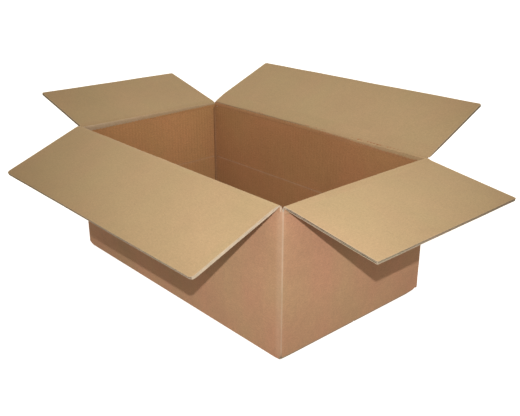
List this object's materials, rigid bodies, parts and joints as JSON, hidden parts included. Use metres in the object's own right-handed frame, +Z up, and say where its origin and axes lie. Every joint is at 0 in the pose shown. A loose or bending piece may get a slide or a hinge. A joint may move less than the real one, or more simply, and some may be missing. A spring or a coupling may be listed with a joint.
{
  "type": "open cardboard box",
  "caption": "Long plain corrugated shipping box standing open, with long and short top flaps hinged on creases and a bottom glued shut.",
  "frame": {"origin": "on the floor at the middle of the box's footprint, within 2 mm of the middle of the whole open box", "axes": "+Z up; +X along the long walls towards the right end; +Y from the front long wall to the back one"},
  "size_m": [0.9497, 0.6812, 0.335],
  "materials": {
    "kraft_board": "matt"
  },
  "bodies": {
    "box_body": {"box_body": "kraft_board"},
    "front_flap": {"front_flap": "kraft_board"},
    "back_flap": {"back_flap": "kraft_board"},
    "left_flap": {"left_flap": "kraft_board"},
    "right_flap": {"right_flap": "kraft_board"}
  },
  "joints": [
    {"name": "front_flap_hinge", "type": "hinge", "parent": "box_body", "child": "front_flap", "pos_m": [0, -0.1782, 0.26315], "axis": [-1, 0, 0], "range_deg": [-53.1, 201.9]},
    {"name": "back_flap_hinge", "type": "hinge", "parent": "box_body", "child": "back_flap", "pos_m": [0, 0.1782, 0.26315], "axis": [1, 0, 0], "range_deg": [-98.2, 156.8]},
    {"name": "left_flap_hinge", "type": "hinge", "parent": "box_body", "child": "left_flap", "pos_m": [-0.3032, 0, 0.25885], "axis": [0, 1, 0], "range_deg": [-89.4, 165.6]},
    {"name": "right_flap_hinge", "type": "hinge", "parent": "box_body", "child": "right_flap", "pos_m": [0.3032, 0, 0.25885], "axis": [0, -1, 0], "range_deg": [-66.6, 188.4]}
  ]
}
